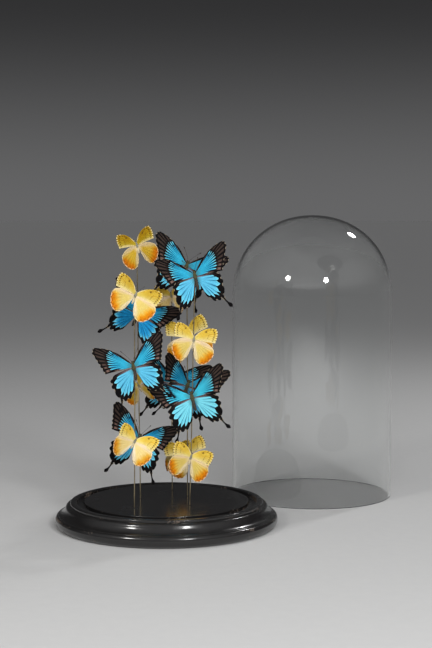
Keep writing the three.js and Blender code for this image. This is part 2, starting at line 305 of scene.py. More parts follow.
class Form:
    """Grids of points gathered into one mesh, each with its finish and the values its points carry."""

    CARRIED = ("vein_space", "reach", "gap_mm", "patch_edge", "rim_mm", "dark_mark", "hindwing", "depth")

    def __init__(self):
        self.points = []
        self.faces = []
        self.finish = []
        self.values = {name: [] for name in self.CARRIED}
        self.count = 0

    def add(self, grids, finish, around=False, **values):
        """Adds a grid of rows x columns of points as quads, or a stack of such grids. around joins the
        last column to the first."""
        grids = np.asarray(grids, float)
        if grids.ndim == 3:
            grids = grids[None]
        stack, rows, columns, _ = grids.shape
        corner = np.arange(stack * rows * columns).reshape(stack, rows, columns) + self.count
        if around:
            corner = np.concatenate([corner, corner[:, :, :1]], axis=2)
        quads = np.stack(
            [corner[:, :-1, :-1], corner[:, :-1, 1:], corner[:, 1:, 1:], corner[:, 1:, :-1]], axis=-1)
        quads = quads.reshape(-1, 4)
        self.points.append(grids.reshape(-1, 3))
        self.faces.append(quads)
        self.finish.append(np.full(len(quads), finish, np.int32))
        size = stack * rows * columns
        for name in self.CARRIED:
            value = values.get(name, 0.0)
            self.values[name].append(np.broadcast_to(value, (stack, rows, columns)).reshape(size))
        self.count += size


def fill(name, form, materials, crease, place=None):
    """One object from a form: doubled points are merged, which closes seams and poles, and every
    shell is turned to face outwards."""
    points = np.concatenate(form.points)
    if place is not None:
        points = points @ place[0].T + place[1]
    mesh = bpy.data.meshes.new(name)
    mesh.from_pydata((points * MM).tolist(), [], np.concatenate(form.faces).tolist())
    mesh.polygons.foreach_set("material_index", np.concatenate(form.finish))
    for key, parts in form.values.items():
        values = np.concatenate(parts)
        if values.any():
            layer = mesh.attributes.new(key, "FLOAT", "POINT")
            layer.data.foreach_set("value", values.astype(np.float32))
    edit = bmesh.new()
    edit.from_mesh(mesh)
    bmesh.ops.remove_doubles(edit, verts=edit.verts, dist=2e-6)
    bmesh.ops.recalc_face_normals(edit, faces=edit.faces)
    edit.to_mesh(mesh)
    edit.free()
    mesh.polygons.foreach_set("use_smooth", np.ones(len(mesh.polygons), bool))
    mesh.set_sharp_from_angle(angle=radians(crease))
    for material in materials:
        mesh.materials.append(material)
    piece = bpy.data.objects.new(name, mesh)
    bpy.context.scene.collection.objects.link(piece)
    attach(piece, "root")
    return piece


# ---------------------------------------------------------------- finishes

class Value:
    """A number, vector or colour that changes over a surface: one output of a node. A sum, difference
    or product of numbers, the larger of two, written a | b, and the curves below each add a node."""

    def __init__(self, wiring, socket):
        self.wiring = wiring
        self.socket = socket

    def __add__(self, other):
        return self.wiring.maths("ADD", self, other)

    def __sub__(self, other):
        return self.wiring.maths("SUBTRACT", self, other)

    def __rsub__(self, other):
        return self.wiring.maths("SUBTRACT", other, self)

    def __mul__(self, other):
        return self.wiring.maths("MULTIPLY", self, other)

    def __or__(self, other):
        return self.wiring.maths("MAXIMUM", self, other)

    def rise(self, low, high, start=0, end=1):
        """start below low, end above high, smooth between them."""
        inputs = {"Value": self, "From Min": low, "From Max": high, "To Min": start, "To Max": end}
        return self.wiring.value("MapRange", inputs, interpolation_type="SMOOTHSTEP")

    def fall(self, low, high, start=1):
        """start below low, 0 above high, smooth between them."""
        return self.rise(low, high, start, 0)

    def off(self, other):
        """How far it is off another value, either way."""
        return self.wiring.maths("ABSOLUTE", self - other)


class Wiring:
    """A node tree being wired up."""

    def __init__(self, tree):
        self.tree = tree

    def feed(self, socket, value):
        """Links a value to a socket, or sets a plain number, vector or colour on it."""
        if isinstance(value, Value):
            self.tree.links.new(value.socket, socket)
        elif socket.type == "RGBA":
            socket.default_value = (*value, 1)
        else:
            socket.default_value = value

    def node(self, kind, inputs=(), **settings):
        node = self.tree.nodes.new("ShaderNode" + kind)
        for key, value in settings.items():
            setattr(node, key, value)
        for key, value in dict(inputs).items():
            self.feed(node.inputs[key], value)
        return node

    def value(self, kind, inputs=(), output=0, **settings):
        """One output of a new node."""
        return Value(self, self.node(kind, inputs, **settings).outputs[output])

    def values(self, kind, inputs=(), **settings):
        """All outputs of a new node, by name."""
        return {socket.name: Value(self, socket) for socket in self.node(kind, inputs, **settings).outputs}

    def maths(self, operation, *numbers, clamp=False):
        return self.value("Math", enumerate(numbers), operation=operation, use_clamp=clamp)

    def mix(self, factor, a, b):
        return self.value("Mix", {0: factor, 6: a, 7: b}, 2, data_type="RGBA")

    def painted(self, colour, *coats):
        """A colour with coats laid over it in turn, each a mask and the colour that it brings."""
        for mask, coat in coats:
            colour = self.mix(mask, colour, coat)
        return colour

    def tinted(self, colour, shade):
        """A colour made darker or lighter by a shade about 1."""
        return self.value("VectorMath", {0: colour, 1: shade}, operation="MULTIPLY")

    def noise(self, where, scale, detail, roughness):
        inputs = {"Vector": where, "Scale": scale, "Detail": detail, "Roughness": roughness}
        return self.value("TexNoise", inputs, "Fac")

    def carried(self, *names):
        """Numbers that the points of a mesh carry."""
        return [self.value("Attribute", (), "Fac", attribute_name=name) for name in names]

    def place(self):
        return self.value("TexCoord", (), "Object")

    def stretched(self, where, scale):
        return self.value("Mapping", {"Vector": where, "Scale": scale})

    def vector(self, x, y, z=0):
        return self.value("CombineXYZ", {"X": x, "Y": y, "Z": z})

    def bump(self, height, strength, distance):
        return self.value("Bump", {"Height": height, "Strength": strength, "Distance": distance})

    def group(self, tree, **inputs):
        """A node group placed with its own values: half_width sets its input Half width."""
        inputs = {key.capitalize().replace("_", " "): value for key, value in inputs.items()}
        return self.values("Group", node_tree=tree, inputs=inputs)


def new_group(name, inputs, outputs):
    """An empty node group with number sockets: the group, its wiring, its inputs and its end."""
    tree = bpy.data.node_groups.new(name, "ShaderNodeTree")
    for key, value in inputs.items():
        socket = tree.interface.new_socket(name=key, in_out="INPUT", socket_type="NodeSocketFloat")
        socket.default_value = value
    for key in outputs:
        tree.interface.new_socket(name=key, in_out="OUTPUT", socket_type="NodeSocketFloat")
    w = Wiring(tree)
    start = {socket.name: Value(w, socket) for socket in tree.nodes.new("NodeGroupInput").outputs}
    return tree, w, start, tree.nodes.new("NodeGroupOutput").inputs


def vein_group():
    """Where the veins run. On a wing's surface the carried number vein_space is whole on a vein and
    gap_mm is how wide the space is there, so the distance to the vein is their product."""
    tree, w, start, end = new_group("wing_veins", {"Half width": 0.2, "Starts at": 0.35}, ("Line", "Middle"))
    space, gap, reach = w.carried("vein_space", "gap_mm", "reach")
    off = space.off(w.maths("ROUND", space))
    line = w.maths("DIVIDE", off * gap, start["Half width"]).fall(0.6, 1.5)
    begun = (reach - start["Starts at"]).rise(0, 0.12)
    w.feed(end["Line"], line * begun)
    w.feed(end["Middle"], off * 2)
    return tree


def scale_group():
    """Powdery wing scales: fine speckle over slow mottling, as a shade about 1 and a height."""
    tree, w, start, end = new_group("wing_scales", {"Strength": 0.2}, ("Shade", "Height"))
    where = w.place()
    fine = w.noise(where, 2600, 2, 0.6)
    slow = w.noise(where, 190, 3, 0.55)
    swing = (fine * 0.55 + slow * 0.45 - 0.5) * start["Strength"]
    w.feed(end["Shade"], swing * 2 + 1)
    w.feed(end["Height"], fine)
    return tree


def dust_group():
    """Settled dust and handling marks: patchy noise, more of it where the surface faces up."""
    tree, w, start, end = new_group("dust_and_smudges", {"Amount": 0.5, "Scale": 30}, ("Dust", "Smudge"))
    where = w.place()
    facing = w.values("SeparateXYZ", {0: w.value("NewGeometry", (), "Normal")})
    cloud = w.noise(where, start["Scale"], 5, 0.65).rise(0.42, 0.75)
    speck = w.noise(where, 1500, 1, 0.5).rise(0.66, 0.74)
    lying = facing["Z"].rise(0.2, 1) * start["Amount"]
    w.feed(end["Dust"], w.maths("MULTIPLY", cloud * 0.5 + speck * 0.7, lying, clamp=True))
    w.feed(end["Smudge"], w.maths("MULTIPLY", cloud, start["Amount"], clamp=True))
    return tree


class Finish(Wiring):
    """A new material with one Principled shader whose plain values are set, and its wiring."""

    def __init__(self, name, **settings):
        self.material = bpy.data.materials.new(name)
        self.material.use_nodes = True
        super().__init__(self.material.node_tree)
        self.finished(**settings)

    def finished(self, **inputs):
        """Feeds the shader, Base_Color its input Base Color, and gives the material."""
        shader = self.tree.nodes["Principled BSDF"]
        for key, value in inputs.items():
            self.feed(shader.inputs[key.replace("_", " ")], value)
        return self.material


def lacquer(dust):
    """Ebonised wood under black lacquer: fine turning rings and grain, worn brown on the arrises."""
    w = Finish("ebonised_lacquer", Coat_Weight=0.5, Coat_Roughness=0.12, Specular_IOR_Level=0.5)
    where = w.place()
    parts = w.values("SeparateXYZ", {0: where})
    flat = w.vector(parts["X"], parts["Y"])
    radius = w.value("VectorMath", {0: flat}, "Value", operation="LENGTH")
    rings = w.maths("SINE", radius * TURNING_RINGS)
    grain = w.noise(w.stretched(where, (40, 900, 900)), 1, 4, 0.6)
    patches = w.noise(where, 26, 5, 0.62)
    flakes = w.noise(where, 330, 3, 0.6)
    worn = None
    for centre, width in WORN_ARRISES:
        near = radius.off(centre * MM).fall(0, width * MM)
        worn = near if worn is None else worn | near
    handled = w.maths("ABSOLUTE", parts["X"]).rise(0.06, 0.13, -0.03, 0.02)
    chips = worn * (patches * 0.62 + flakes * 0.38 + handled).rise(0.555, 0.6)
    settled = w.group(dust, amount=0.28, scale=34)
    black = w.mix(grain.rise(0.45, 0.7), (0.0085, 0.0082, 0.0085), (0.014, 0.012, 0.011))
    brown = w.mix(flakes, (0.05, 0.032, 0.022), (0.16, 0.125, 0.1))
    colour = w.painted(black, (chips, brown), (settled["Dust"] * 0.35, (0.2, 0.19, 0.18)))
    dull = patches.rise(0.3, 0.75, 0.15, 0.27) + chips * 0.4
    return w.finished(
        Base_Color=colour,
        Roughness=dull + settled["Smudge"] * 0.16,
        Coat_Weight=chips.fall(0, 1, 0.5),
        Normal=w.bump(rings * 0.12 + grain * 0.5 - chips * 2.5, 0.3, 0.0001))


def dome_glass(dust):
    """Clear blown glass, very slightly grey-green, with faint smudges and a gentle ripple."""
    w = Finish(
        "dome_glass", Base_Color=(0.985, 0.993, 0.99), Transmission_Weight=1, IOR=1.47,
        Sheen_Weight=0.05, Sheen_Roughness=0.4)
    where = w.place()
    settled = w.group(dust, amount=0.5, scale=17)
    streak = w.noise(w.stretched(where, (85, 85, 6)), 1, 4, 0.6).rise(0.6, 0.8)
    ripple = w.noise(w.stretched(where, (9, 9, 5)), 1, 2, 0.4)
    away = w.value("VectorMath", {0: where, 1: BLISTER}, "Value", operation="DISTANCE")
    return w.finished(
        Roughness=settled["Smudge"] * streak * 0.12 + 0.004,
        Normal=w.bump(ripple * 0.12 + away.fall(0, BLISTER_RADIUS), 1, 0.0015))


def brass(dust):
    """Drawn brass wire gone dull: brown tarnish in patches over a duller yellow."""
    w = Finish("tarnished_brass", Metallic=1)
    tarnish = w.noise(w.stretched(w.place(), (500, 500, 60)), 1, 4, 0.6).rise(0.35, 0.7)
    settled = w.group(dust, amount=0.6, scale=120)
    colour = w.mix(tarnish, (0.5, 0.41, 0.25), (0.2, 0.165, 0.11))
    return w.finished(
        Base_Color=w.mix(settled["Dust"], colour, (0.25, 0.23, 0.2)),
        Roughness=tarnish.rise(0, 1, 0.32, 0.55),
        Normal=w.bump(tarnish, 0.15, 0.0001))


def blue_upper(veins, scales):
    """Upper side of the swallowtail: a bright blue patch that ends in teeth between the veins, then
    black with brown-grey rays, palest at the forewing's rear corner, and a thin pale fringe."""
    w = Finish("swallowtail_upper", Roughness=0.5, Specular_IOR_Level=0.06)
    vein = w.group(veins, half_width=0.2, starts_at=0.3)
    powder = w.group(scales, strength=0.16)
    middle, line = vein["Middle"], vein["Line"]
    space, reach, hind, rim, depth = w.carried("vein_space", "reach", "hindwing", "rim_mm", "depth")
    patch_edge, dark_mark = w.carried("patch_edge", "dark_mark")
    strands = w.noise(w.vector(space * 3, reach * 2.2, hind), 1, 3, 0.6)
    streaks = w.noise(w.vector(space * 8, reach * 1.6, hind), 1, 3, 0.65)
    inside = patch_edge - reach + (strands - 0.5) * 0.04

    # depth deepens the blue and its dark veins: partly the specimen's own colour, partly painted shade.
    pale = w.mix(hind, (0.06, 0.59, 0.75), (0.21, 0.69, 0.8))
    deep = w.mix(hind, (0.006, 0.29, 0.56), (0.015, 0.34, 0.72))
    dark = w.mix(depth, (0.008, 0.22, 0.4), (0.002, 0.08, 0.27))
    ribs = middle.fall(0.05, 0.6) * reach.rise(0.2, 0.6, 0.25, 0.75)
    wedge = middle - reach.rise(0.18, 0.66, 0, 0.6) + hind * 0.42
    blue = w.painted(
        w.mix(depth, pale, deep),
        (ribs * hind.rise(0, 1, 1, 0.45), dark),
        (streaks.rise(0.48, 0.7, 0, 0.6), dark),
        # Painted sheen: the bright streaks here and the paler blue towards the teeth stand for the shine of
        # the blue scales, over the patch's own streaky colour.
        (streaks.fall(0.3, 0.5, 0.35), (0.12, 0.68, 0.9)),
        (reach.fall(0, 0.22, 0.75), (0.06, 0.19, 0.2)),
        (inside.fall(0.02, 0.22, 0.5), (0.13, 0.68, 0.88)),
        (inside.fall(0, 0.07, 0.6), (0.35, 0.82, 0.92)),
        (line * hind.rise(0, 1, 0.85, 0.5), (0.004, 0.06, 0.14)),
        (wedge.fall(-0.16, 0.12, 0.9), (0.003, 0.05, 0.14)),
    )

    ray = middle.rise(0.3, 0.7) * inside.fall(-0.1, -0.03) * rim.rise(2.4, 4.6) * hind.rise(0, 1, 1, 0.3)
    rear_corner = space.rise(7.5, 11) * (1 - hind)
    dusty = w.mix(rear_corner, (0.055, 0.037, 0.03), (0.27, 0.165, 0.135))
    fringe = middle.rise(0.5, 0.8) * rim.fall(0.55, 1.1)
    front = space.fall(0.7, 1.5) * reach.fall(0.6, 0.95)
    hair = hind * (front | space.rise(8.45, 8.7))
    colour = w.painted(
        (0.0045, 0.004, 0.0045),
        (ray * strands.rise(0.2, 0.7, 0.55, 1), dusty),
        (fringe * 0.75, (0.42, 0.34, 0.24)),
        (inside.rise(-0.004, 0.018), blue),
        (hair * 0.85, (0.17, 0.11, 0.12)),
        (dark_mark, (0.006, 0.006, 0.01)),
    )
    return w.finished(
        Base_Color=w.tinted(colour, powder["Shade"]),
        Normal=w.bump(powder["Height"] + line * 1.5, 0.25, 0.00012))


def blue_under(veins, scales):
    """Underside of the swallowtail: brown-black with dusty rays, and on the hindwing a row of dull
    blue crescents with orange behind them."""
    w = Finish("swallowtail_underside", Roughness=0.6, Specular_IOR_Level=0.25)
    vein = w.group(veins, half_width=0.24, starts_at=0.25)
    powder = w.group(scales, strength=0.22)
    middle = vein["Middle"]
    reach, hind, rim = w.carried("reach", "hindwing", "rim_mm")
    ray = middle.rise(0.25, 0.8) * reach.rise(0.45, 0.7) * rim.rise(1.5, 5)
    moon = reach.off(0.84).fall(0.015, 0.045) * middle.rise(0.3, 0.55) * hind
    glow = reach.off(0.905).fall(0.01, 0.04) * middle.rise(0.35, 0.6) * hind
    colour = w.painted(
        (0.022, 0.015, 0.012),
        (ray * 0.8, (0.16, 0.125, 0.1)),
        (moon, (0.12, 0.2, 0.3)),
        (glow, (0.3, 0.1, 0.03)),
        (vein["Line"] * 0.7, (0.008, 0.006, 0.006)),
    )
    return w.finished(
        Base_Color=w.tinted(colour, powder["Shade"]),
        Normal=w.bump(powder["Height"], 0.25, 0.00012))


def yellow_upper(veins, scales):
    """Upper side of the yellow: golden forewing, cream in front and clouded darker, with dark spots
    inside the margin and dashes on it; hindwing rosy in front, white by the body, lemon between and
    orange outwards, with a pale edge. It is usual at a depth of 1 and full, golden all over, at 1.5.
    A deeper depth is partly the specimen's own colour and partly painted shade."""
    w = Finish("yellow_upper", Roughness=0.62, Specular_IOR_Level=0.03)
    vein = w.group(veins, half_width=0.2, starts_at=0.3)
    powder = w.group(scales, strength=0.16)
    middle, line = vein["Middle"], vein["Line"]
    space, reach, hind, rim, depth = w.carried("vein_space", "reach", "hindwing", "rim_mm", "depth")
    cloud = w.noise(w.vector(space * 0.8, reach * 4, hind), 1, 3, 0.6)
    strands = w.noise(w.vector(space * 4, reach * 2, hind), 1, 3, 0.6)

    # depth deepens the golds, creams and oranges: partly the specimen's own colour, partly painted shade.
    light = w.mix(depth, (0.86, 0.72, 0.25), (0.46, 0.35, 0.03))
    clouded = w.mix(depth, (0.68, 0.37, 0.02), (0.26, 0.11, 0.004))
    outer = space.rise(2.4, 3.4) * space.fall(10.2, 10.8)
    golden = w.painted(
        w.mix(depth, (0.84, 0.62, 0.1), (0.38, 0.245, 0.01)),
        (strands.rise(0.45, 0.66) * reach.rise(0.25, 0.6, 0.25, 0.8), clouded),
        (space.rise(5.5, 9.5, 0, 0.9), light),
        (space.rise(8.6, 10.6, 0, 0.6), (0.84, 0.71, 0.4)),
        (reach.fall(0, 0.35, 0.7), light),
        (space.fall(0.3, 1, 0.8), (0.86, 0.74, 0.42)),
        (line * 0.7, clouded),
        (rim.fall(0.6, 2, 0.8) * outer, (0.86, 0.72, 0.36)),
    )

    usual = depth.rise(0.45, 1)
    full = depth.rise(0.9, 1.5)
    rosy = w.painted((0.88, 0.73, 0.54), (usual, (0.78, 0.6, 0.38)), (full, (0.56, 0.44, 0.25)))
    lemon = w.painted((0.86, 0.68, 0.3), (usual, (0.71, 0.55, 0.15)), (full, (0.55, 0.36, 0.03)))
    white = w.painted((0.9, 0.8, 0.62), (usual, (0.78, 0.66, 0.42)), (full, (0.6, 0.5, 0.3)))
    uneven = reach + (cloud - 0.5) * 0.35
    warm = uneven.rise(0.52, 0.96) * space.rise(1.7, 4) * space.fall(6.2, 8) * depth.rise(0, 1, 0.2, 1)
    rays = strands.rise(0.45, 0.65, 0, 0.35) * reach.rise(0.2, 0.6)
    cream = w.painted(
        rosy,
        (space.rise(0.8, 3.4), lemon),
        (space.rise(6.6, 8.4), white),
        (reach.fall(0, 0.3, 0.8), (0.76, 0.64, 0.4)),
        (warm.rise(0, 0.5), w.mix(full, (0.78, 0.46, 0.06), (0.54, 0.29, 0.015))),
        (warm.rise(0.3, 0.9), w.mix(full, (0.71, 0.255, 0.004), (0.54, 0.18, 0.003))),
        (uneven.rise(0.8, 1) * (warm * warm) * 0.7, (0.62, 0.15, 0.012)),
        (rays, w.mix(warm, (0.6, 0.42, 0.1), (0.55, 0.14, 0.004))),
        (rim.fall(0.5, 1.5, 0.75) * cloud.rise(0.28, 0.5), (0.86, 0.68, 0.42)),
    )

    dashes = middle.fall(0.22, 0.42) * rim.fall(1.5, 2.3) * hind.rise(0, 1, 1, 0.6)
    row = middle.rise(0.3, 0.55) * rim.off(hind.rise(0, 1, 4.6, 3)).fall(0.7, 1.3)
    row = row * cloud.rise(0.3, 0.45, 0.5, 1) * hind.rise(0, 1, 1, 0.35)
    inner = middle.rise(0.35, 0.6) * reach.off(space.rise(2, 8, 0.74, 0.6)).fall(0.012, 0.035)
    inner = inner * (hind.fall(0, 1, 0.7) * cloud.rise(0.4, 0.6))
    spots = (dashes | row | inner) * space.rise(1.8, 3.2) * space.fall(9.2, 10.2)
    dark = spots | w.carried("dark_mark")[0]
    colour = w.painted(golden, (hind, cream), (dark, (0.075, 0.032, 0.01)))
    return w.finished(
        Base_Color=w.tinted(colour, powder["Shade"]),
        Normal=w.bump(powder["Height"] + line * 1.2, 0.25, 0.0001))


def yellow_under(veins, scales):
    """Underside of the yellow: paler, sprinkled with brown, with a small brown spot."""
    w = Finish("yellow_underside", Roughness=0.65, Specular_IOR_Level=0.25)
    vein = w.group(veins, half_width=0.2, starts_at=0.25)
    powder = w.group(scales, strength=0.25)
    colour = w.painted(
        (0.74, 0.56, 0.24),
        (w.noise(w.place(), 420, 4, 0.65).rise(0.5, 0.66, 0, 0.5), (0.35, 0.19, 0.07)),
        (vein["Line"] * 0.4, (0.5, 0.33, 0.13)),
        (w.carried("dark_mark")[0], (0.22, 0.1, 0.04)),
    )
    return w.finished(
        Base_Color=w.tinted(colour, powder["Shade"]),
        Normal=w.bump(powder["Height"], 0.25, 0.0001))


def plain_matter(name, dark, light, scale, roughness):
    """Horn, eye and glue: two colours mixed by noise, with its bump."""
    w = Finish(name, Roughness=roughness, Specular_IOR_Level=0.3)
    speckle = w.noise(w.place(), scale, 4, 0.6)
    return w.finished(
        Base_Color=w.mix(speckle.rise(0.35, 0.65), dark, light),
        Normal=w.bump(speckle, 0.3, 0.0002))


def fur(name, thorax, abdomen):
    """Fine fur: the carried number reach is 1 on head and thorax, 0 on the abdomen, and each has two
    colours of its own, mixed by fine noise."""
    w = Finish(name, Roughness=0.8, Specular_IOR_Level=0.3)
    speckle = w.noise(w.place(), 1600, 3, 0.6)
    hair = speckle.rise(0.3, 0.7)
    return w.finished(
        Base_Color=w.mix(w.carried("reach")[0], w.mix(hair, *abdomen), w.mix(hair, *thorax)),
        Normal=w.bump(speckle, 0.3, 0.0001))


def floor_finish():
    """Matt pale paper."""
    w = Finish("pale_floor", Roughness=0.85, Specular_IOR_Level=0.2)
    speckle = w.noise(w.place(), 60, 4, 0.6)
    return w.finished(Base_Color=w.mix(speckle, (0.6, 0.6, 0.6), (0.64, 0.64, 0.635)))


# ---------------------------------------------------------------- base, dome and wires

def base_profile():
    """Radius and height round the base, from the middle of its underside to the middle of its top:
    foot with a tight upper corner, quirk and fillet, an ogee of two curves, a rim with rounded
    corners, the groove and the disc."""
    half = EDGE_HEIGHT / 2
    bulge = BASE_RADIUS - BASE_FOOT_RADIUS
    corner = (BASE_RADIUS - FILLET_RADIUS, 7.0)
    hollow = (OGEE_TURN, (152.6, 20.8), (FILLET_RADIUS - 1.2, EDGE_HEIGHT + 0.3))
    swell = ((OGEE_TOP_RADIUS, BEAD_TOP - BEAD_ROUND), (149.0, 31.6), OGEE_TURN)
    return np.concatenate([
        [(0, 0), (60, 0), (120, 0), (148, 0)],
        arc((BASE_FOOT_RADIUS, half), (bulge, half), -90, 0, 18),
        arc((FILLET_RADIUS, EDGE_HEIGHT - 0.6 - corner[1]), corner, 12, 86, 16),
        [(FILLET_RADIUS - 0.1, EDGE_HEIGHT - 0.9)],
        arc((FILLET_RADIUS - 0.8, EDGE_HEIGHT - 0.3), (0.65, 0.65), -30, 100, 8),
        bezier(hollow, np.linspace(0, 1, 18))[::-1],
        bezier(swell, np.linspace(0, 1, 14))[::-1][1:],
        [(BEAD_RADIUS + 0.7, BEAD_TOP - 4.6), (BEAD_RADIUS, BEAD_TOP - 4.2)],
        arc((BEAD_RADIUS - 1.8, BEAD_TOP - 1.8), (1.8, 1.8), 0, 84, 10),
        [(138.2, BEAD_TOP), (BEAD_INNER_RADIUS + 1.6, BEAD_TOP - 0.15)],
        arc((BEAD_INNER_RADIUS + 1.2, BEAD_TOP - 1.4), (1.2, 1.2), 95, 180, 7),
        np.linspace((BEAD_INNER_RADIUS, BEAD_TOP - 2), (BEAD_INNER_RADIUS, GROOVE_FLOOR + 0.5), 4),
        [(BEAD_INNER_RADIUS - 0.5, GROOVE_FLOOR), (127, GROOVE_FLOOR - 0.15)],
        [(DISC_RADIUS + 0.5, GROOVE_FLOOR)],
        np.linspace((DISC_RADIUS, GROOVE_FLOOR + 0.5), (DISC_RADIUS, DISC_TOP - 1.0), 4),
        arc((DISC_RADIUS - 0.9, DISC_TOP - 0.9), (0.9, 0.9), 10, 90, 6),
        [(r, DISC_TOP) for r in (118, 112, 104, 94, 82, 68, 52, 36, 20, 8, 0)],
    ])


def make_base(finish):
    """The turned base, with a low collar of black filler round the foot of each wire."""
    form = Form()
    form.add(turned(base_profile(), LATHE_SIDES, 0.08), 0, around=True)
    for wire in WIRES.values():
        collar = turned(np.array(COLLAR), COLLAR_SIDES)
        form.add(collar + np.array([*wire.foot, DISC_TOP]), 0, around=True)
    piece = fill("turned_base", form, [finish], crease=60)
    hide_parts("base")


def dome_cap(radius, crown):
    """The dome's upper profile: a superellipse, a little fuller than a quarter circle."""
    angle = np.linspace(0, pi / 2, DOME_CAP_ROWS)
    power = 2 / DOME_FULLNESS
    across = radius * np.abs(np.cos(angle)) ** power
    across[-1] = 0
    return np.column_stack([across, crown - radius + radius * np.sin(angle) ** power])


def make_dome(finish):
    """The blown dome: one closed wall, inside and out, with a rounded, ground rim."""
    inner = DOME_RADIUS - DOME_WALL
    upwards = np.linspace(2.0, DOME_HEIGHT - DOME_RADIUS - 4, DOME_SIDE_ROWS)
    half = DOME_WALL / 2
    profile = np.concatenate([
        dome_cap(inner, DOME_HEIGHT - DOME_WALL)[::-1],
        np.column_stack([np.full(DOME_SIDE_ROWS, inner), upwards[::-1]]),
        arc((DOME_RADIUS - half, half), (half, half), 180, 360, 13),
        np.column_stack([np.full(DOME_SIDE_ROWS, DOME_RADIUS), upwards]),
        dome_cap(DOME_RADIUS, DOME_HEIGHT),
    ])
    form = Form()
    form.add(turned(profile, LATHE_SIDES, 0.16) + np.array([*DOME_PLACE, 0]), 0, around=True)
    piece = fill("blown_dome", form, [finish], crease=80)
    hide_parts("glass_dome")


def wire_at(wire, height):
    """The middle of a wire at a height above the table."""
    along = (height - DISC_TOP) / (wire.height - DISC_TOP)
    foot, top = np.array(wire.foot, float), np.array(wire.top, float)
    return np.array([*(foot + (top - foot) * along), height])


def make_wire(name, wire, number, finish):
    """A drawn wire that is nearly straight: a slow bend of a few tenths of a millimetre, as sines of
    the height times a parabola that is nothing at both ends."""
    heights = np.linspace(DISC_TOP - WIRE_SINK, wire.height, WIRE_ROWS)
    path = np.array([wire_at(wire, z) for z in heights])
    rise = np.clip((heights - DISC_TOP) / (wire.height - DISC_TOP), 0, 1)
    path[:, 0] += 0.45 * np.sin(rise * 5.1 + number * 1.7) * rise * (1 - rise) * 3
    path[:, 1] += 0.4 * np.sin(rise * 6.3 + number * 2.9) * rise * (1 - rise) * 3
    radii = np.full(WIRE_ROWS, WIRE_RADIUS)
    radii[-1] = WIRE_RADIUS * 0.75
    form = Form()
    form.add(tube(path, radii, WIRE_SIDES), 0, around=True)
    piece = fill(f"brass_wire_{name}", form, [finish], crease=50)
    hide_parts(f"wire_{name}")


# ---------------------------------------------------------------- butterflies

UPPER, UNDER, FUR, EYE, HORN, GLUE = range(6)


def along_outline(outline, marks):
    """Points at marks on an outline: a mark's whole part picks the side, the rest how far along it."""
    side = np.minimum(marks.astype(int), len(outline) - 1)
    points = np.zeros((len(marks), 2))
    for i, knots in enumerate(outline):
        here = side == i
        points[here] = bezier(knots, marks[here] - i)
    return points


def tail_strip(tail, across, along):
    """The tail of a hindwing: across its curved middle line, a half width that narrows from the foot
    to the neck, swells to the club as a bell curve and closes round the tip."""
    flat = along.ravel()
    middle = bezier(tail.knots, flat).reshape(*along.shape, 2)
    ahead = unit(bezier(tail.knots, flat + 0.01).reshape(*along.shape, 2) - middle)
    square = np.stack([-ahead[..., 1], ahead[..., 0]], axis=-1)
    flare = (tail.foot - tail.neck) * np.clip(1 - along / 0.45, 0, 1) ** 2
    club = tail.club * np.exp(-(((along - 0.86) / 0.17) ** 2))
    close = np.sqrt(np.clip(1 - smooth(along, 0.8, 1.0) ** 2, 0, 1))
    return middle + square * (across * (tail.neck + flare + club) * close)[..., None]


def wing_plan(wing, wear):
    """A wing laid flat: the plan, the vein space and the reach of each point. Each column runs from
    the root to the outline along a quadratic curve whose middle knot is drawn towards the cell. Where
    there is a tail, the columns of its foot run on down it, and the others' last rows stay on the rim."""
    last = len(wing.veins) - 1
    columns = np.arange(last * WING_COLUMNS_PER_SPACE + 1) / WING_COLUMNS_PER_SPACE
    if wing.tail:
        foot = wing.tail.vein + np.linspace(-0.5, 0.5, 2 * TAIL_COLUMNS + 1)
        outside = columns[np.abs(columns - wing.tail.vein) > 0.51]
        columns = np.sort(np.concatenate([outside, foot]))
    counted = np.arange(last + 1)
    reach = np.linspace(0, 1, WING_ROWS)[:, None, None]
    margin = along_outline(wing.outline, np.interp(columns, counted, wing.veins))
    back = np.array(wing.outline[-1][-1], float)
    front = np.array(wing.outline[0][0], float)
    root = front + (back - front) * (columns / last)[:, None]
    inward = unit(np.array(wing.cell) - margin)
    bay = np.interp(columns, counted, wing.scallop)
    ragged = np.interp(columns, np.linspace(0, last, len(wear)), wear) * (bay > 0)
    margin = margin + inward * (bay * np.sin(np.pi * columns) ** 2 + ragged)[:, None]
    middle = (root + margin) / 2
    size = np.linalg.norm(margin - root, axis=1, keepdims=True)
    knot = middle + 0.35 * np.minimum(1, size / 0.6) ** 2 * (np.array(wing.cell) - middle)
    plan = (1 - reach) ** 2 * root + 2 * reach * (1 - reach) * knot + reach ** 2 * margin
    reach = np.broadcast_to(reach[..., 0], plan.shape[:2])
    if wing.tail:
        across = np.clip((columns - wing.tail.vein) * 2, -1, 1)
        step = np.linspace(0, 1, TAIL_ROWS)[1:, None]
        along = step * (1 - np.abs(across))
        side = np.sign(across) * (np.abs(across) + (1 - np.abs(across)) * step ** 0.7)
        strip = tail_strip(wing.tail, side, along)
        start = tail_strip(wing.tail, across[None], np.zeros((1, len(columns))))
        strip = strip + (margin - start[0]) * (1 - step[..., None])
        on_tail = (np.abs(across) < 1)[None, :, None]
        plan = np.concatenate([plan, np.where(on_tail, strip, margin)])
        reach = np.concatenate([reach, np.broadcast_to(1 + 0.3 * step, (TAIL_ROWS - 1, len(columns)))])
    return plan, np.broadcast_to(columns, plan.shape[:2]), reach


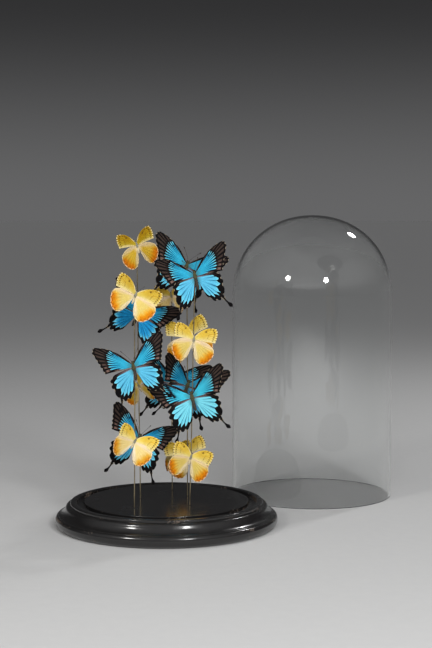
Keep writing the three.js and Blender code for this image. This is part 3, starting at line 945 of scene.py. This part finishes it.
def wing_values(wing, plan, space, reach, length):
    """What a wing's points carry for its finish, and their distance from the root: the width of the
    vein space and the distance to the rim in millimetres, and where the coloured patch ends."""
    gap = np.linalg.norm(np.gradient(plan, space[0], axis=1), axis=2) * length
    steps = np.linalg.norm(np.diff(plan, axis=0), axis=2) * length
    to_rim = np.concatenate([np.cumsum(steps[::-1], axis=0)[::-1], np.zeros((1, plan.shape[1]))])
    from_root = np.concatenate([np.zeros((1, plan.shape[1])), np.cumsum(steps, axis=0)])
    tooth = 1 - np.abs(2 * (space - np.floor(space)) - 1)
    edge = np.interp(space, np.arange(len(wing.patch)), wing.patch)
    edge = edge + wing.tooth * (tooth - 0.5) * (edge > 0.3)
    return {"vein_space": space, "reach": reach, "gap_mm": gap, "rim_mm": to_rim,
            "patch_edge": edge}, from_root


def wing_relief(plan, values, length, rng, curl):
    """How far each point of a wing stands off its plan, in millimetres: the skin sags between the
    veins as a squared sine, the wing arches as a square and carries a slow warp of sines."""
    x, y = plan[..., 0], plan[..., 1]
    space, reach, gap = values["vein_space"], values["reach"], values["gap_mm"]
    held = smooth(reach, 0.1, 0.6) * smooth(values["rim_mm"], 0, 5)
    pleat = -0.075 * np.minimum(gap, 6) * np.sin(np.pi * space) ** 2 * held
    phase = rng.uniform(0, TAU, 4)
    warp = (0.5 * np.sin(4.1 * x + phase[0]) * np.sin(5.3 * y + phase[1])
            + 0.25 * np.sin(9.7 * x + 6.1 * y + phase[2]) + 0.12 * np.sin(19 * x - 15 * y + phase[3]))
    arch = -curl * (x ** 2 + 1.5 * (y + 0.1) ** 2)
    return pleat + (warp * 0.022 + arch * 0.09) * length * smooth(reach, 0, 0.5)


def wing_marks(plan, hind, hooked, kind):
    """Marks at a place on a forewing: the dark spot at the end of the cell, and the black hook on one
    blue wing, dark wherever its middle line is near."""
    x, y = plan[..., 0], plan[..., 1]
    if hind:
        return 0.0
    if kind == "yellow":
        spot = np.hypot((x - 0.53) * 1.1, y - 0.075)
        return smooth(spot, 0.028, 0.052) * -0.85 + 0.85
    spot = 1 - smooth(np.hypot(x - 0.51, (y - 0.07) * 0.8), 0.014, 0.03)
    if hooked:
        away = [np.hypot(x - px, y - py) for px, py in bezier(HOOK, np.linspace(0, 1, 24))]
        return np.maximum(spot, 1 - smooth(np.min(away, axis=0), 0.022, 0.042))
    return spot


def add_wing(form, fly, kind, rng, mirror, hind, hooked):
    """One wing: two sheets that meet at the rim and the root, swung, raised by the fold, carried to
    its root and mirrored for a left wing."""
    side = 0 if mirror < 0 else 1
    wing = kind.hind if hind else kind.fore
    length = kind.length * fly.size
    swing = radians(fly.hind[side] if hind else 90 - fly.spread[side])
    fold = radians(fly.fold[side])
    wear = np.clip(rng.normal(0, 0.0035, 90), -0.004, 0.014)
    plan, space, reach = wing_plan(wing, wear)
    values, from_root = wing_values(wing, plan, space, reach, length)
    values["hindwing"] = float(hind)
    # depth is partly each specimen's own colour and partly painted shade for where it sits.
    values["depth"] = fly.depth[hind]
    values["dark_mark"] = wing_marks(plan, hind, hooked, fly.kind)
    height = wing_relief(plan, values, length, rng, rng.uniform(0.5, 1.1))
    thick = kind.thickness * np.clip(values["rim_mm"] / 1.2, 0, 1) * np.clip(from_root, 0, 1)
    vein = np.exp(-((np.abs(space - np.round(space)) * values["gap_mm"] / 0.35) ** 2))
    thick = thick * (1 + 0.7 * vein)
    x = (plan[..., 0] * cos(swing) - plan[..., 1] * sin(swing)) * length
    y = (plan[..., 0] * sin(swing) + plan[..., 1] * cos(swing)) * length
    root = np.array(wing.root) * fly.size
    for finish, lift in ((UPPER, 0.5), (UNDER, -0.5)):
        z = height + thick * lift
        placed = np.stack([
            (x * cos(fold) - z * sin(fold) + root[0]) * mirror,
            y + root[1],
            x * sin(fold) + z * cos(fold) + root[2],
        ], axis=-1)
        form.add(placed, finish, **values)


def body_radius(kind, along):
    """The body's radius along it: its profile with the corners rounded off, and rings round the
    abdomen."""
    knots = np.array(kind.body, float)
    fine = np.linspace(knots[0, 1], knots[-1, 1], 240)
    radius = np.interp(fine, knots[:, 1], knots[:, 0])
    weights = np.hanning(19)
    radius = np.convolve(np.pad(radius, 9, mode="edge"), weights / weights.sum(), mode="valid")
    ends = np.minimum(fine - fine[0], fine[-1] - fine)
    radius = radius * np.sqrt(smooth(ends, 0, 1.4))
    rings = 0.05 * np.abs(np.sin(fine * 1.45)) * smooth(fine, -4, -6)
    return np.interp(along, fine, radius * (0.97 + rings))


def add_body(form, kind, size, rng):
    """Head, thorax and abdomen as one closed form round a slightly bent axis, the thorax a little
    wider than deep."""
    along = np.linspace(kind.body[0][1], kind.body[-1][1], BODY_ROWS)
    radius = body_radius(kind, along)
    angle = np.linspace(0, TAU, BODY_SIDES, endpoint=False)
    droop = -0.012 * np.clip(-along - 4, 0, None) ** 2 / 2
    sway = rng.uniform(-0.008, 0.008) * np.clip(-along - 4, 0, None) ** 2
    x = radius[:, None] * np.cos(angle) + sway[:, None]
    z = radius[:, None] * 0.94 * np.sin(angle) + droop[:, None]
    y = np.broadcast_to(along[:, None], x.shape)
    form.add(np.stack([x, y, z], axis=-1) * size, FUR, around=True, reach=smooth(y, -5, -3))
    eye_x, eye_y, eye_z, eye_r = kind.eye
    for mirror in (-1, 1):
        form.add(ball((eye_x * mirror * size, eye_y * size, eye_z * size),
                      np.array([0.75, 1.0, 1.0]) * eye_r * size), EYE, around=True)


def add_fur(form, kind, size, rng):
    """Fur: each hair is a curved three-sided spike that leans back, long on head and thorax and
    short on the abdomen."""
    count = kind.fur_count
    low, high = kind.body[0][1], kind.body[-1][1]
    to_thorax = rng.random(count) < 0.75
    ahead = rng.uniform(-4.5, high - 0.8, count)
    behind = rng.uniform(low + 1, -3, count)
    at = np.where(to_thorax, ahead, behind)
    turn = rng.uniform(0, TAU, count)
    radius = body_radius(kind, at) * 0.9
    out = np.stack([np.cos(turn), np.zeros(count), np.sin(turn)], axis=-1)
    foot = out * radius[:, None] + np.stack([0 * at, at, -0.006 * np.clip(-at - 4, 0, None) ** 2], axis=-1)
    lean = out * rng.uniform(0.35, 0.9, (count, 1)) + np.array([0, -1, 0]) * rng.uniform(0.5, 1.1, (count, 1))
    lean = unit(lean + rng.normal(0, 0.18, (count, 3)))
    length = kind.fur_length * rng.uniform(0.5, 1.15, (count, 1)) * np.where(at[:, None] > -4, 1, 0.55)
    square = unit(np.cross(lean, out + 0.01))
    third = np.cross(lean, square)
    steps = np.array([0.0, 0.0, 0.5, 1.0])[None, :, None]
    width = np.array([0.0, 0.09, 0.06, 0.0])[None, :, None, None]
    fall = out[:, None] * 0.25 * steps ** 2
    spine = foot[:, None] + (lean[:, None] * steps - fall) * length[:, None]
    angle = np.linspace(0, TAU, 3, endpoint=False)[None, None, :, None]
    ring = square[:, None, None] * np.cos(angle) + third[:, None, None] * np.sin(angle)
    on_thorax = np.broadcast_to(smooth(at, -5, -3)[:, None, None], (count, 4, 3))
    form.add((spine[:, :, None] + ring * width) * size, FUR, around=True, reach=on_thorax)


def add_antennae_and_legs(form, kind, size, rng):
    """Two clubbed antennae that sweep forwards and out as parabolas, and six thin legs folded under
    the thorax as Bezier curves, their knees splayed clear of the wire."""
    reach, thin, club = kind.antenna
    head = kind.body[-1][1] - 1.4
    t = np.linspace(0, 1, 16)
    for mirror in (-1, 1):
        open_out, bend = rng.uniform(0.42, 0.6), rng.uniform(-0.12, 0.12)
        path = np.column_stack([
            mirror * (0.6 + reach * (open_out * t + bend * t * t)),
            head + reach * (0.86 * t - 0.1 * t * t),
            1.2 + reach * (0.16 * t - 0.2 * t * t),
        ])
        radii = thin + (club - thin) * smooth(t, 0.8, 0.95) * (1 - 0.5 * smooth(t, 0.95, 1))
        form.add(tube(path * size, radii * size, 7), HORN, around=True)
        for leg in range(3):
            foot = 2.5 - 2.6 * leg + rng.uniform(-0.3, 0.3)
            splay = rng.uniform(0.85, 1.2)
            knots = [(1.0, foot, -1.8), (3.6 * splay, foot + 0.6, -4.4), (2.3, foot - 3.4, -7.2 * splay),
                     (2.9 * splay, foot - 5.6, -8.0)]
            path = bezier(knots, np.linspace(0, 1, 9)) * np.array([mirror, 1, 1])
            form.add(tube(path * size, np.linspace(0.26, 0.1, 9) * size, 6), HORN, around=True)


def fly_place(fly, kind):
    """How a butterfly is turned and where its thorax lies against its wire."""
    thorax = max(radius for radius, _ in kind.body) * fly.size
    standoff = thorax + WIRE_RADIUS + WIRE_GAP
    turn = radians(fly.turn)
    on_wire = wire_at(WIRES[fly.wire], fly.height)
    centre = on_wire + standoff * np.array([sin(turn), -cos(turn), 0])
    upright = Matrix.Rotation(pi / 2, 3, "X")
    turned_round = Matrix.Rotation(turn, 3, "Y")
    pitched = Matrix.Rotation(radians(fly.pitch), 3, "X")
    leaned = Matrix.Rotation(radians(fly.lean), 3, "Z")
    return np.array(upright @ turned_round @ pitched @ leaned), centre


def make_butterfly(fly, number, finishes):
    """A whole butterfly, with the drop of glue that holds its thorax to the wire."""
    name = "_".join(filter(None, (fly.kind, fly.wire, fly.level)))
    kind = KINDS[fly.kind]
    rng = np.random.default_rng(100 + number)
    form = Form()
    for mirror in (-1, 1):
        for hind in (False, True):
            hooked = name == HOOKED and mirror < 0
            add_wing(form, fly, kind, rng, mirror, hind, hooked)
    add_body(form, kind, fly.size, rng)
    add_fur(form, kind, fly.size, rng)
    add_antennae_and_legs(form, kind, fly.size, rng)
    place = fly_place(fly, kind)
    to_wire = (wire_at(WIRES[fly.wire], fly.height) - place[1]) @ place[0]
    form.add(ball(to_wire * 0.8, (1.5, 2.1, 1.7), 10, 14), GLUE, around=True)
    piece = fill(name + "_insect", form, finishes, crease=48, place=place)
    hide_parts(name)


# ---------------------------------------------------------------- stage

# In metres, but for the lens in millimetres and the camera's tip, which is in degrees below level.
FLOOR_REACH = 300.0
LIGHTS_AIM = (0.08, 0.08, 0.22)
CAMERA_PLACE = (0.0734, -2.0648, 0.4532)
CAMERA_LENS = 78.05
CAMERA_TIP = 4.275


def add_light(name, place, power, size, colour=(1, 1, 1)):
    """A round soft lamp aimed at the middle of the display: power in watts, size across in metres."""
    light = bpy.data.lights.new(name, "AREA")
    light.shape = "DISK"
    light.size = size
    light.energy = power
    light.color = colour
    lamp = bpy.data.objects.new(name, light)
    lamp.location = place
    lamp.rotation_euler = (Vector(LIGHTS_AIM) - Vector(place)).to_track_quat("-Z", "Y").to_euler()
    bpy.context.scene.collection.objects.link(lamp)
    return lamp


def make_stage():
    """A wide pale floor, a soft pale sky, two front lamps, a third behind and a large soft one in front
    that leaves no reflection of its own in the glass."""
    floor_mesh = bpy.data.meshes.new("pale_floor")
    corners = [(x * FLOOR_REACH, y * FLOOR_REACH, 0) for x, y in ((-1, -1), (1, -1), (1, 1), (-1, 1))]
    floor_mesh.from_pydata(corners, [], [(0, 1, 2, 3)])
    floor_mesh.materials.append(floor_finish())
    floor = bpy.data.objects.new("pale_floor", floor_mesh)
    bpy.context.scene.collection.objects.link(floor)
    world = bpy.data.worlds.new("soft_sky")
    world.use_nodes = True
    sky = Wiring(world.node_tree)
    background = world.node_tree.nodes["Background"].inputs
    looking = sky.value("TexCoord", (), "Generated")
    towards = sky.values("SeparateXYZ", {0: looking})
    horizon = (0.13, 0.13, 0.132)
    front = sky.mix(towards["Z"].rise(0, 0.4), horizon, (0.4, 0.4, 0.405))
    back = sky.mix(towards["Z"].rise(0, 0.16), horizon, (0.03, 0.03, 0.031))
    sky.feed(background["Color"], sky.mix(towards["Y"].rise(-0.5, 0.5), front, back))
    background["Strength"].default_value = 1.0
    bpy.context.scene.world = world
    add_light("lamp_left", (-1.152, -1.416, 1.199), 9, 0.3, (1, 0.98, 0.95))
    add_light("lamp_right", (0.844, -1.857, 1.143), 12.5, 0.3)
    add_light("lamp_behind", (1.38, 1.345, 1.934), 12, 0.26)
    soft = add_light("soft_front", (0.5, -2.45, 1.5), 40, 2.0)
    soft.visible_glossy = False
    soft.visible_transmission = False


def make_camera():
    """The viewing place: a little above the middle, tipped down by about four degrees."""
    camera = bpy.data.cameras.new("camera")
    camera.sensor_width = 36.0
    camera.lens = CAMERA_LENS
    viewer = bpy.data.objects.new("camera", camera)
    viewer.location = CAMERA_PLACE
    viewer.rotation_euler = (radians(90 - CAMERA_TIP), 0, 0)
    bpy.context.scene.collection.objects.link(viewer)
    bpy.context.scene.camera = viewer


def main():
    bpy.context.scene.view_settings.view_transform = "Standard"
    make_camera()
    veins, scales, dust = vein_group(), scale_group(), dust_group()
    make_base(lacquer(dust))
    make_dome(dome_glass(dust))
    metal = brass(dust)
    for number, (name, wire) in enumerate(WIRES.items()):
        make_wire(name, wire, number, metal)
    eye = plain_matter("dark_eye", (0.01, 0.008, 0.007), (0.03, 0.02, 0.015), 900.0, 0.25)
    horn = plain_matter("dark_horn", (0.015, 0.01, 0.008), (0.05, 0.035, 0.025), 700.0, 0.45)
    glue = plain_matter("old_glue", (0.5, 0.4, 0.24), (0.6, 0.52, 0.36), 300.0, 0.2)
    olive = fur(
        "olive_fur", ((0.02, 0.022, 0.012), (0.13, 0.12, 0.055)),
        ((0.018, 0.016, 0.013), (0.085, 0.07, 0.05)))
    cream = fur("cream_fur", ((0.09, 0.09, 0.065), (0.42, 0.4, 0.3)), ((0.42, 0.34, 0.2), (0.8, 0.7, 0.48)))
    finishes = {
        "blue": [blue_upper(veins, scales), blue_under(veins, scales), olive, eye, horn, glue],
        "yellow": [yellow_upper(veins, scales), yellow_under(veins, scales), cream, eye, horn, glue],
    }
    for number, fly in enumerate(FLIES):
        make_butterfly(fly, number, finishes[fly.kind])
    make_stage()


main()
